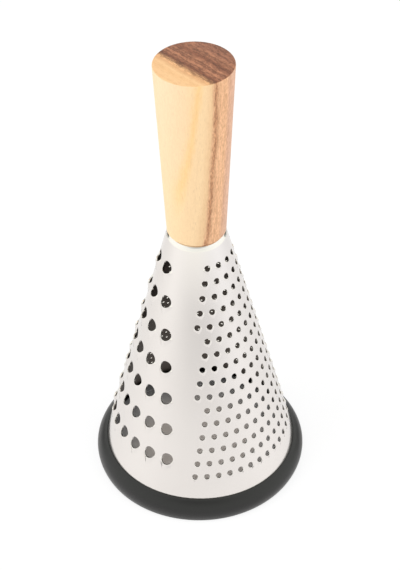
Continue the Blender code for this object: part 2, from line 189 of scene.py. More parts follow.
# Depths over which the wood's colours run, and its heartwood's grain begins
WOOD_DEPTHS = (-0.024, 0.024)
SIDE_HEART_START = (-0.0056, -0.0042)
END_HEART_START = (-0.0080, -0.0060)

# Upward part of the normal over which the side turns into the top
TOP_NORMALS = (0.5, 0.9)

# Golden streak in the sapwood: its depth at a height, how it drifts, fades and ends
STREAK_DEPTH = -0.0137
STREAK_HEIGHT = 0.205
STREAK_DRIFT = 0.05
STREAK_FADE = (0.0001, 0.0021)
STREAK_END = (-0.006, 0.001)
STREAK_SHARE = 0.80
STREAK_COLOUR = (0.965, 0.615, 0.265)

# Tones of the wood on the handle's side
PALE_SAPWOOD = (0.94, 0.73, 0.50)
SAPWOOD = (0.94, 0.675, 0.43)
WARM_SAPWOOD = (0.94, 0.675, 0.39)
BROWNED_SAPWOOD = (0.86, 0.57, 0.31)
LINE_EDGE = (0.74, 0.42, 0.23)
LINE_CORE = (0.49, 0.23, 0.105)
GOLDEN_HEARTWOOD = (0.82, 0.47, 0.255)
BROWN_HEARTWOOD = (0.69, 0.39, 0.24)
ROSE_HEARTWOOD = (0.75, 0.45, 0.30)

# Where those tones lie in the wood's depth, from 0 to 1
SIDE_COLOURS = (
    (0.0, *PALE_SAPWOOD), (0.11, *SAPWOOD), (0.22, *WARM_SAPWOOD), (0.32, *WARM_SAPWOOD),
    (0.38, *BROWNED_SAPWOOD), (0.404, *LINE_EDGE), (0.426, *LINE_CORE), (0.456, *LINE_EDGE),
    (0.475, *GOLDEN_HEARTWOOD), (0.56, *GOLDEN_HEARTWOOD), (0.6, *BROWN_HEARTWOOD), (0.68, *ROSE_HEARTWOOD),
    (0.75, *BROWN_HEARTWOOD), (0.8, *ROSE_HEARTWOOD), (0.86, *BROWN_HEARTWOOD), (0.93, *ROSE_HEARTWOOD),
    (1.0, *BROWN_HEARTWOOD),
)

# Tones of the wood on the handle's top
END_SAPWOOD = (0.875, 0.545, 0.27)
END_RING = (0.83, 0.50, 0.235)
END_BROWN = (0.735, 0.405, 0.187)
END_EDGE = (0.36, 0.175, 0.08)
END_DARK = (0.19, 0.064, 0.029)
END_HEARTWOOD = (0.345, 0.14, 0.069)
END_RED = (0.28, 0.11, 0.057)

# Where those tones lie in the wood's depth, from 0 to 1
END_COLOURS = (
    (0.0, *END_SAPWOOD), (0.2, *END_SAPWOOD), (0.245, *END_RING), (0.285, *END_SAPWOOD),
    (0.3, *END_SAPWOOD), (0.335, *END_BROWN), (0.372, *END_BROWN), (0.395, *END_EDGE), (0.43, *END_DARK),
    (0.446, *END_DARK), (0.475, *END_HEARTWOOD), (0.58, *END_HEARTWOOD), (0.625, *END_DARK),
    (0.64, *END_DARK), (0.705, *END_HEARTWOOD), (0.765, *END_RED), (1.0, *END_RED),
)

# Noises drawn out along the grain: share of the height, scale, detail, roughness
WAVE_NOISE = (0.30, 75.0, 2.0, 0.5)
RAG_NOISE = (0.20, 1000.0, 5.0, 0.7)
FIBRE_NOISE = (0.06, 1200.0, 4.0, 0.65)
SPECKLE_NOISE = (0.33, 1500.0, 2.0, 0.6)
DASH_NOISE = (0.30, 1400.0, 2.0, 0.6)
PORE_NOISE = (0.10, 3200.0, 1.0, 0.5)

# Growth rings drawn out up the handle, and the top's mottle and bands drawn out and tilted to the border
GROWTH_SHARE = 0.05
GROWTH_NOISE = (620.0, 5.0, 0.7)
MOTTLE_SHARE = 0.45
MOTTLE_NOISE = (850.0, 3.0, 0.75)
BAND_SHARE = 0.06
BAND_NOISE = (330.0, 2.0, 0.5)
END_TILT = 0.12

# Weights of fibre, growth rings and speckle on the side, and of mottle and rings on the top
SIDE_GRAIN_WEIGHTS = (0.35, 0.20, 0.45)
END_GRAIN_WEIGHTS = (0.52, 0.48)

# Darkest and lightest shade that each grain gives to the wood
PALE_SHADES = ((0.36, 0.95, 0.93, 0.90), (0.60, 1.03, 1.03, 1.03))
HEART_SHADES = ((0.41, 0.80, 0.74, 0.68), (0.59, 1.16, 1.19, 1.22))
DASH_SHADES = ((0.40, 0.70, 0.64, 0.58), (0.60, 1.24, 1.28, 1.32))
PALE_END_SHADES = ((0.38, 0.91, 0.88, 0.84), (0.60, 1.06, 1.07, 1.08))
HEART_END_SHADES = ((0.43, 0.55, 0.49, 0.46), (0.58, 1.45, 1.50, 1.52))
BAND_SHADES = ((0.38, 0.89, 0.87, 0.86), (0.62, 1.06, 1.07, 1.08))

# The wood's pores and finish
PORE_FADE = (0.64, 0.76)
PORE_SHARE = 0.22
PORE_COLOUR = (0.40, 0.20, 0.10)
WOOD_ROUGHNESS = (0.44, 0.60)
WOOD_BUMP = (0.25, 0.00008)

# Rubber
RUBBER_COLOURS = ((0.3, 0.0048, 0.0044, 0.0042), (0.7, 0.0062, 0.0058, 0.0054))
RUBBER_CLOUD = (60.0, 3.0, 0.5)
RUBBER_STIPPLE = (1600.0, 2.0, 0.5)
RUBBER_ROUGHNESS = (0.32, 0.42)
RUBBER_BUMP = (0.2, 0.00004)
RUBBER_IOR = 1.50
RUBBER_SHEEN = 0.12
RUBBER_SHEEN_ROUGHNESS = 0.50

# Range that most of a noise lies in, and its middle
NOISE_RANGE = (0.3, 0.7)
NOISE_MIDDLE = 0.5

# White, as a colour or as no tint
WHITE = (1.0, 1.0, 1.0)

# The floor: half its width, and its material
FLOOR_HALF = 4.0
FLOOR_COLOURS = ((0.0, 0.92, 0.92, 0.92), (1.0, 0.93, 0.93, 0.93))
FLOOR_CLOUD = (3.0, 2.0, 0.5)
FLOOR_ROUGHNESS = 0.9

# How white the floor looks outside and inside the foot ring, and its strength to the camera; inside the ring
# the glow is painted light, strongest at the middle, warm and fading towards the ring
FLOOR_WHITE = 0.80
INNER_WHITE = (0.185, 0.01)
INNER_FADE = (0.026, 0.053)
INNER_TINT = (1.0, 0.87, 0.76)
INNER_MIRRORED = 0.60
FLOOR_STRENGTH = 1.04

# The floor as reflections see it: strengths, tints and the distances between them
NEAR_STRENGTH = 0.99
FAR_STRENGTH = 1.05
FAR_RISE = (0.39, 0.60)
SIDE_SPAN = (-0.45, 0.45)
SIDE_TINTS = ((0.0, 1.0, 0.990, 0.975), (0.5, 1.0, 0.99, 0.98), (1.0, 0.995, 1.0, 1.02))
HORIZON_RISE = (0.65, 1.60)
HORIZON_SHARE = 1.14
HORIZON_TINT = (1.03, 1.055, 0.915)

# The dim sector of floor in front, whose reflection runs down the sheet: angles, shares and distances
FRONT_TURN = 0.038
FRONT_FADE = (0.09, 1.331)
FRONT_SHARE = 0.354
FRONT_START = 0.284
FRONT_RISE = (0.08, 0.57)
FRONT_FALL = (0.502, 0.807)

# The two dim sectors at the back: angle from the front's middle, half width, share
BACK_TURN = 2.243
BACK_FADE = 1.3
BACK_SHARE = 0.114

# The room as reflections see it: the front sector reaches up its wall, and its back is dimmer low down
ROOM_STRENGTH = 1.16
ROOM_TINT = (0.975, 1.0, 0.955)
ROOM_FRONT_SHARES = (0.12, 0.55)
ROOM_FRONT_RISE = (0.60, 0.84)
ROOM_BACK_SHARE = 0.30
ROOM_BACK_FADE = (0.74, 0.96)
ROOM_TOP_FADE = (0.30, 0.80)

# Dark far corners, as reflections see them: places on the floor, and directions in the room
CORNER_PLACE = (0.60, 0.57)
CORNER_REACH = (0.13, 0.26)
CORNER_SHARE = 0.05
CORNER_DIRECTION = (0.74, 0.67, 0.04)
CORNER_FADE = (0.948, 0.972)

# Strength of the world as a light, and the lamps: name, place, diameter, watts
WORLD_LIGHT = 0.75
LAMPS = (
    ("left_softbox", (-1.00, -0.35, 0.85), 1.2, 7.8),
    ("right_softbox", (1.00, -0.35, 0.85), 1.2, 5.2),
)


def linked(name, data):
    """Put data into the scene as a new object."""
    item = bpy.data.objects.new(name, data)
    bpy.context.collection.objects.link(item)
    return item


def mesh_object(name, points, faces):
    """Put points and faces into the scene as a smooth-shaded mesh object."""
    mesh = bpy.data.meshes.new(name)
    mesh.from_pydata([tuple(point) for point in points], [], faces)
    mesh.shade_smooth()
    return linked(name, mesh)


def turned(name, profile, around, closed):
    """Revolve a profile of (radius, height) points about the axis into an object."""
    made = bmesh.new()
    points = [made.verts.new((0.0, -radius, height)) for radius, height in profile]
    pairs = list(zip(points, points[1:]))
    if closed:
        pairs.append((points[-1], points[0]))
    edges = [made.edges.new(pair) for pair in pairs]
    bmesh.ops.spin(made, geom=points + edges, cent=(0, 0, 0), axis=(0, 0, 1),
                   angle=math.tau, steps=around, use_merge=True)
    bmesh.ops.remove_doubles(made, verts=made.verts, dist=TURNED_WELD)
    bmesh.ops.recalc_face_normals(made, faces=made.faces)
    if made.calc_volume(signed=True) < 0:
        bmesh.ops.reverse_faces(made, faces=made.faces)
    mesh = bpy.data.meshes.new(name)
    made.to_mesh(mesh)
    made.free()
    mesh.shade_smooth()
    mesh.set_sharp_from_angle(angle=math.radians(SHARP_DEGREES))
    return linked(name, mesh)


def arc(centre_radius, centre_height, radius, start_degrees, end_degrees, steps):
    """Points of an arc in a turned profile, 0 degrees outwards and 90 up."""
    angles = np.radians(np.linspace(start_degrees, end_degrees, steps + 1))
    return [(centre_radius + radius * math.cos(a), centre_height + radius * math.sin(a)) for a in angles]


class Tooth:
    """One kind of tooth: polar points about its hole in the flat sheet, angle 0 down the slope."""

    def __init__(self, hole_radius, lip_height, rise, tail, skirt, edge, around, steps):
        self.hole_radius = hole_radius
        self.lip_height = lip_height
        self.rise = rise
        self.skirt = skirt * hole_radius
        self.tip = max(hole_radius + tail, self.skirt)
        self.angles = math.tau * np.arange(around) / around
        self.shares = (np.arange(1, steps + 1) / steps) ** TAIL_SPREAD
        self.edge = edge
        self.rings = self.edge_rings() + self.tail_rings()

    def outline(self, angle):
        """Distance from the hole's centre to where the tooth runs back into the plain sheet."""
        aside = np.abs((angle + math.pi) % math.tau - math.pi)
        tangent = math.acos(self.skirt / self.tip)
        return np.where(aside < tangent, self.skirt / np.cos(np.minimum(tangent, np.abs(tangent - aside))),
                        self.skirt)

    def lift(self, radius, angle):
        """How far the sheet is pressed out at a polar point."""
        share = (radius - self.hole_radius) / (self.outline(angle) - self.hole_radius)
        return self.lip_height * self.rise(angle) * (1.0 - np.clip(share, 0.0, 1.0))

    def normal(self, radius, angle):
        """Unit normal (across, down, out) of the pressed sheet at a polar point."""
        step = self.hole_radius * SLOPE_STEP_SHARE
        inner = self.lift(radius - step, angle)
        outward = (self.lift(radius, angle) - inner) / step
        turn = step / radius
        around = (self.lift(radius, angle + turn) - self.lift(radius, angle - turn)) / (2 * step)
        across = outward * np.sin(angle) + around * np.cos(angle)
        down = outward * np.cos(angle) - around * np.sin(angle)
        return unit(np.stack([-across, -down, np.ones_like(across)], axis=1))

    def ring(self, radius, drop, normals):
        """Points (across, down, out) and normals of one ring, let down by a drop."""
        lift = self.lift(np.maximum(radius, self.hole_radius), self.angles) - drop
        points = np.stack([radius * np.sin(self.angles), radius * np.cos(self.angles), lift], axis=1)
        return points, normals

    def edge_rings(self):
        """Rings round the hole's eased outer edge."""
        inward = np.stack([-np.sin(self.angles), -np.cos(self.angles), np.zeros_like(self.angles)], axis=1)
        start = np.full_like(self.angles, self.hole_radius + self.edge)
        top = self.normal(start, self.angles)
        rings = []
        for turn in np.radians(EDGE_TURNS):
            radius = np.full_like(self.angles, self.hole_radius + self.edge * (1 - math.cos(turn)))
            normals = unit(inward * math.cos(turn) + top * math.sin(turn))
            rings.append(self.ring(radius, self.edge * (1 - math.sin(turn)), normals))
        return rings

    def tail_rings(self):
        """Rings of the pressed sheet from the hole's edge out to the plain sheet."""
        start = self.hole_radius + self.edge
        rings = []
        for share in self.shares:
            radius = start + share * (self.outline(self.angles) - start)
            rings.append(self.ring(radius, 0.0, self.normal(radius, self.angles)))
        return rings


def unit(vectors):
    """Vectors at length one."""
    return vectors / np.linalg.norm(vectors, axis=1, keepdims=True)


def scoop(power):
    """Rise of a lip that is pressed out on the hole's lower side alone."""
    return lambda angle: np.maximum(np.cos(angle), 0.0) ** power


def burr(angle):
    """Rise of a pierced hole's rim, highest at its torn points."""
    return BURR_LOW_SHARE + (1.0 - BURR_LOW_SHARE) * np.cos(BURR_POINTS / 2 * angle) ** 2


# The three kinds of tooth, with their skirts in hole radii
COARSE_TOOTH = Tooth(hole_radius=0.0031, lip_height=0.0015, rise=scoop(1.3), tail=0.0062, skirt=1.55,
                     edge=0.00022, around=44, steps=7)
FINE_TOOTH = Tooth(hole_radius=0.0015, lip_height=0.0006, rise=scoop(1.4), tail=0.0024, skirt=1.70,
                   edge=0.00016, around=20, steps=4)
PIERCED_TOOTH = Tooth(hole_radius=0.00055, lip_height=0.0004, rise=burr, tail=0.0, skirt=2.1,
                      edge=0.00010, around=9, steps=2)


def neighbours(count):
    """Each place of a closed ring with the one after it."""
    return [(here, (here + 1) % count) for here in range(count)]


def round_axis(radius, turn, height):
    """Points at a radius, an azimuth in radians and a height."""
    return np.stack([-radius * np.sin(turn), -radius * np.cos(turn), height], axis=1)


def staggered_rows(tooth, pattern):
    """Centres of a staggered pattern, as (sideways distance, slant), as many as the face holds."""
    distance = SLANT_TOP + pattern.top_margin
    last = SLANT_RING - FOOT_MARGIN - tooth.hole_radius
    column = pattern.top_shift
    centres = []
    while distance <= last:
        reach = int(distance * FACE_HALF * pattern.band_share / pattern.half_pitch)
        widest = reach if (reach - column) % 2 == 0 else reach - 1
        aside = pattern.lean * (distance - last)
        places = range(-widest, widest + 1, 2)
        centres += [(place * pattern.half_pitch + aside, distance) for place in places]
        distance += pattern.row_pitch
        column += 1
    return centres


def turned_flat(points, angle):
    """Turn flat vectors (x, y, out) about the apex, from a face's middle to its place."""
    x, y, out = points.T
    return np.stack([x * math.cos(angle) + y * math.sin(angle),
                     y * math.cos(angle) - x * math.sin(angle), out], axis=1)


def wrap_points(points):
    """Wrap points (x, y, lift) of the flat blank round the cone."""
    x, y, lift = points.T
    distance = np.hypot(x, y)
    turn = math.radians(FINE_PATTERN.azimuth) + np.arctan2(x, y) / SLOPE_SIN
    radius = distance * SLOPE_SIN + lift * SLOPE_COS
    height = APEX_HEIGHT - distance * SLOPE_COS + lift * SLOPE_SIN
    return round_axis(radius, turn, height)


def wrap_normals(points, normals):
    """Carry normals of the flat blank round the cone with their points."""
    angle = np.arctan2(points[:, 0], points[:, 1])
    turn = math.radians(FINE_PATTERN.azimuth) + angle / SLOPE_SIN
    down = normals[:, 0] * np.sin(angle) + normals[:, 1] * np.cos(angle)
    around = normals[:, 0] * np.cos(angle) - normals[:, 1] * np.sin(angle)
    radial = down * SLOPE_SIN + normals[:, 2] * SLOPE_COS
    rise = normals[:, 2] * SLOPE_SIN - down * SLOPE_COS
    return np.stack([-radial * np.sin(turn) - around * np.cos(turn),
                     -radial * np.cos(turn) + around * np.sin(turn), rise], axis=1)


class Sheet:
    """The punched sheet as it grows: flat points, and faces whose corners carry their normals."""

    def __init__(self):
        self.flat = []
        self.count = 0
        self.faces = []
        self.corner_normals = []
        self.outlines = []
        self.owner = {}
        self.centres = []

    def add_points(self, points):
        """Add flat points (x, y, lift) and return the first one's index."""
        first = self.count
        self.flat.append(points)
        self.count += len(points)
        return first

    def add_face(self, corners, normals):
        """Add one face with a normal for each corner."""
        self.faces.append(corners)
        self.corner_normals += normals

    def add_tooth(self, tooth, sideways, distance, turn):
        """Add one tooth, inner edge to outline, with its centre kept for the plain sheet round it."""
        base = math.sqrt(distance ** 2 - sideways ** 2)
        offset = np.array([sideways, base, 0.0])
        firsts = []
        normals = []
        for points, ring_normals in tooth.rings:
            firsts.append(self.add_points(turned_flat(points + offset, turn)))
            normals.append([tuple(n) for n in turned_flat(ring_normals, turn)])
        around = len(tooth.angles)
        for level in range(len(firsts) - 1):
            for here, after in neighbours(around):
                corners = (firsts[level] + here, firsts[level] + after,
                           firsts[level + 1] + after, firsts[level + 1] + here)
                self.add_face(corners, [normals[level][here], normals[level][after],
                                        normals[level + 1][after], normals[level + 1][here]])
        outline = [firsts[-1] + here for here in range(around)]
        self.owner.update((index, len(self.outlines)) for index in outline)
        self.outlines.append(outline)
        centre = turned_flat(offset[np.newaxis, :], turn)[0]
        self.centres.append((centre[0], centre[1], turn, tooth))
        return firsts[0]


def blank_outline():
    """Corners of the flat blank, all round, and how many are on its foot, each side and its mouth."""
    side_steps = round((SLANT_FOOT - SLANT_TOP) / PLAIN_PITCH)
    foot = [(BLANK_HALF * (2 * step / AROUND_FOOT - 1), SLANT_FOOT) for step in range(AROUND_FOOT + 1)]
    mouth = [(BLANK_HALF * (1 - 2 * step / AROUND_MOUTH), SLANT_TOP) for step in range(AROUND_MOUTH + 1)]
    side = np.linspace(SLANT_FOOT, SLANT_TOP, side_steps + 1)[1:-1]
    up = [(BLANK_HALF, distance) for distance in side]
    down = [(-BLANK_HALF, distance) for distance in reversed(side)]
    corners = foot + up + mouth + down
    points = np.array([(d * math.sin(a), d * math.cos(a), 0.0) for a, d in corners])
    return points, (len(foot), len(up), len(mouth))


def plain_points(centres):
    """Points of the unpunched sheet between the teeth."""
    places = np.array([placed[:2] for placed in centres])
    points = []
    for distance in np.arange(SLANT_TOP + PLAIN_PITCH, SLANT_FOOT - PLAIN_PITCH / 2, PLAIN_PITCH):
        columns = round(2 * BLANK_HALF * distance / PLAIN_PITCH)
        for column in range(1, columns):
            angle = BLANK_HALF * (2 * column / columns - 1)
            x, y = distance * math.sin(angle), distance * math.cos(angle)
            near = np.argsort(np.hypot(places[:, 0] - x, places[:, 1] - y))[:NEAR_TEETH]
            if all(clear_of(centres[index], x, y) for index in near):
                points.append((x, y, 0.0))
    return np.array(points)


def clear_of(placed, x, y):
    """Whether a flat point is outside a tooth's outline with room to spare."""
    centre_x, centre_y, turn, tooth = placed
    across, down = turned_flat(np.array([(x - centre_x, y - centre_y, 0.0)]), -turn)[0, :2]
    limit = tooth.outline(np.array([math.atan2(across, down)]))[0]
    return math.hypot(across, down) > limit + PLAIN_CLEARANCE


def punched_sheet():
    """The rolled sheet with all its teeth, shoulder and flange, as one closed body."""
    sheet = Sheet()
    border, counts = blank_outline()
    sheet.add_points(border)
    rims = []
    faces = ((COARSE_TOOTH, COARSE_PATTERN), (PIERCED_TOOTH, PIERCED_PATTERN), (FINE_TOOTH, FINE_PATTERN))
    for tooth, pattern in faces:
        turn = math.radians(pattern.azimuth - FINE_PATTERN.azimuth) * SLOPE_SIN
        for sideways, distance in staggered_rows(tooth, pattern):
            rims.append((sheet.add_tooth(tooth, sideways, distance, turn), len(tooth.angles)))
    sheet.add_points(plain_points(sheet.centres))
    flat = np.concatenate(sheet.flat)
    add_plain_faces(sheet, flat, len(border))
    return closed_body(sheet, flat, rims, *counts)


def add_plain_faces(sheet, flat, border_count):
    """Fill the blank between its border and the teeth's outlines with triangles."""
    border = list(range(border_count))
    loops = [border] + sheet.outlines
    used = sum(loops, []) + list(range(sheet.count - len(sheet.flat[-1]), sheet.count))
    slot = {index: place for place, index in enumerate(used)}
    edges = [(slot[a], slot[b]) for loop in loops for a, b in zip(loop, loop[1:] + loop[:1])]
    places = [Vector(flat[index][:2]) for index in used]
    _, _, triangles, origin, _, _ = delaunay_2d_cdt(places, edges, [border], KEEP_INSIDE, BLANK_WELD)
    source = [used[found[0]] for found in origin]
    level = [(0.0, 0.0, 1.0)] * 3
    for triangle in triangles:
        corners = tuple(source[index] for index in triangle)
        owners = {sheet.owner.get(index) for index in corners}
        if len(owners) > 1 or None in owners:
            sheet.add_face(corners, level)


def closed_body(sheet, flat, rims, foot_count, side_count, mouth_count):
    """Wrap the sheet round the cone, give it its wall and shoulder, and weld its seam."""
    outer_corners = np.array([index for face in sheet.faces for index in face])
    normals = wrap_normals(flat[outer_corners], np.array(sheet.corner_normals))
    inner_flat = flat - np.array([0.0, 0.0, SHEET_THICKNESS])
    points = np.concatenate([wrap_points(flat), wrap_points(inner_flat)])
    weld = seam_partners(foot_count, side_count, mouth_count)
    count = sheet.count
    faces = []
    corner_normals = []
    start = 0
    for face in sheet.faces:
        own = normals[start:start + len(face)]
        faces.append([weld.get(index, index) for index in face])
        corner_normals += [tuple(n) for n in own]
        faces.append([weld.get(index, index) + count for index in reversed(face)])
        corner_normals += [tuple(-n) for n in own[::-1]]
        start += len(face)
    for first, around in rims:
        ring = flat[first:first + around]
        inward = ring.mean(axis=0) - ring
        inward[:, 2] = 0.0
        wall = wrap_normals(ring, unit(inward))
        for here, after in neighbours(around):
            faces.append([first + here, first + here + count, first + after + count, first + after])
            corner_normals += [tuple(wall[here])] * 2 + [tuple(wall[after])] * 2
    foot = [weld.get(index, index) for index in range(foot_count)]
    for here, after in zip(foot, foot[1:]):
        faces.append([after, here, here + count, after + count])
        corner_normals += [(0.0, 0.0, -1.0)] * 4
    mouth_start = foot_count + side_count
    mouth = [weld.get(index, index) for index in range(mouth_start, mouth_start + mouth_count)]
    points = add_shoulder(points, faces, corner_normals, mouth[:-1], count)
    item = welded_object("punched_sheet", points, faces, corner_normals)
    inside = np.zeros(len(faces), dtype=np.int32)
    inside[1:2 * len(sheet.faces):2] = 1
    item.data.polygons.foreach_set("material_index", inside)
    return item


def seam_partners(foot_count, side_count, mouth_count):
    """Border points of the blank's far side, each with the near side's point that it meets."""
    total = foot_count + 2 * side_count + mouth_count
    far_side = [foot_count - 1] + list(range(foot_count, foot_count + side_count + 1))
    near_side = [0] + list(range(total - 1, total - side_count - 2, -1))
    return dict(zip(far_side, near_side))


def shoulder_profile(depth):
    """Points (radius, height, lean of the normal) over the shoulder to the flange's edge, at a depth."""
    radius = SHOULDER_RADIUS - depth
    leans = np.linspace(HALF_ANGLE, math.pi / 2, SHOULDER_STEPS + 1)[1:]
    return [(SHOULDER_CENTRE + radius * math.cos(lean), SHOULDER_HEIGHT + radius * math.sin(lean), lean)
            for lean in leans] + [(SHOULDER_CENTRE - FLANGE_WIDTH, SHOULDER_HEIGHT + radius, math.pi / 2)]


def add_shoulder(points, faces, corner_normals, mouth, count):
    """Carry both sides of the sheet on over its shoulder and in to the flange's edge."""
    made = [points]
    total = len(points)
    turns = np.arctan2(-points[mouth, 0], -points[mouth, 1])
    last = {}
    for side, depth, below in ((1.0, 0.0, mouth), (-1.0, SHEET_THICKNESS, [m + count for m in mouth])):
        ring, ring_lean = below, HALF_ANGLE
        for radius, height, upper_lean in shoulder_profile(depth):
            made.append(round_axis(radius, turns, np.full_like(turns, height)))
            upper = list(range(total, total + len(turns)))
            total += len(turns)
            for here, after in neighbours(len(turns)):
                corners = [(ring[here], turns[here], ring_lean), (ring[after], turns[after], ring_lean),
                           (upper[after], turns[after], upper_lean), (upper[here], turns[here], upper_lean)]
                if side < 0:
                    corners.reverse()
                faces.append([index for index, turn, lean in corners])
                corner_normals += [(-side * math.cos(lean) * math.sin(turn),
                                    -side * math.cos(lean) * math.cos(turn),
                                    side * math.sin(lean)) for index, turn, lean in corners]
            ring, ring_lean = upper, upper_lean
        last[side] = ring
    for here, after in neighbours(len(turns)):
        faces.append([last[1.0][here], last[1.0][after], last[-1.0][after], last[-1.0][here]])
        corner_normals += [(math.sin(turns[k]), math.cos(turns[k]), 0.0) for k in (here, after, after, here)]
    return np.concatenate(made)


def welded_object(name, points, faces, corner_normals):
    """Object from faces that use only some of the points, with its corner normals kept."""
    used = sorted({index for face in faces for index in face})
    place = {index: new for new, index in enumerate(used)}
    item = mesh_object(name, points[used], [[place[index] for index in face] for face in faces])
    item.data.normals_split_custom_set(corner_normals)
    return item


def handle():
    """Turned wooden handle with the screw's blind bore."""
    foot_radius = MOUTH_RADIUS - HANDLE_SETBACK
    bore_top = HANDLE_FOOT + BORE_DEPTH
    profile = [(0.0, bore_top + BORE_RADIUS), (BORE_RADIUS, bore_top), (BORE_RADIUS, HANDLE_FOOT)]
    profile += arc(foot_radius - HANDLE_FOOT_EASE, HANDLE_FOOT + HANDLE_FOOT_EASE, HANDLE_FOOT_EASE,
                   -90.0, 0.0, HANDLE_FOOT_STEPS)
    profile += arc(HANDLE_TOP_RADIUS - HANDLE_TOP_EASE, HANDLE_TOP - HANDLE_TOP_EASE, HANDLE_TOP_EASE,
                   0.0, 90.0, HANDLE_TOP_STEPS)
    profile.append((0.0, HANDLE_TOP))
    return turned("turned_handle", profile, AROUND_HANDLE, closed=False)


def foot_ring():
    """Rubber ring, half round outside, with the groove that the sheet's edge sits in."""
    gap = RING_CLEARANCE / SLOPE_COS
    wall = SHEET_THICKNESS / SLOPE_COS
    lip = cone_radius(RING_HEIGHT) + gap + RING_LIP
    widest = FOOT_RADIUS + RING_STANDOUT
    rise = RING_HEIGHT - RING_WIDEST_HEIGHT
    bulge = ((widest - lip) ** 2 + rise ** 2) / (2 * (widest - lip))
    bottom = -math.degrees(math.asin((RING_WIDEST_HEIGHT - RING_EASE) / bulge))
    top = math.degrees(math.asin(rise / bulge))
    outside = arc(widest - bulge, RING_WIDEST_HEIGHT, bulge, bottom, top, RING_BULGE_STEPS)
    lowest_radius = outside[0][0]
    groove = FOOT_HEIGHT - SEAT_GAP
    inner_top = RING_HEIGHT - RING_INNER_DROP
    inside = RING_INNER_WALL + gap + wall
    profile = arc(lowest_radius - RING_EASE, RING_EASE, RING_EASE, -90.0, RING_EASE_TURN, RING_EASE_STEPS)
    profile += outside
    profile += [(cone_radius(RING_HEIGHT) + gap, RING_HEIGHT), (cone_radius(groove) + gap, groove),
                (cone_radius(groove) - wall - gap, groove), (cone_radius(inner_top) - wall - gap, inner_top)]
    for level, height, start in ((inner_top, inner_top - RING_EASE, 90.0), (RING_EASE, RING_EASE, 180.0)):
        centre = cone_radius(level) - inside + RING_EASE
        profile += arc(centre, height, RING_EASE, start, start + 90.0, RING_EASE_STEPS)
    ring = turned("rubber_foot_ring", profile, AROUND_FOOT, closed=True)
    for vertex in ring.data.vertices:
        vertex.co = pressed_on(*vertex.co)
    return ring


def pressed_on(x, y, z):
    """Where a point of the ring goes as the soft ring is pressed unevenly down the cone."""
    turn = math.atan2(-x, -y) - math.radians(RING_HIGH_AZIMUTH)
    sunk = z * RING_SINK_SHARE * ((1.0 - math.cos(turn)) / 2.0) ** RING_SINK_CURVE
    grown = 1.0 + sunk * TAPER / math.hypot(x, y)
    return x * grown, y * grown, z - sunk


def cone_radius(height):
    """Radius of the sheet's outer face at a height."""
    return (APEX_HEIGHT - height) * TAPER


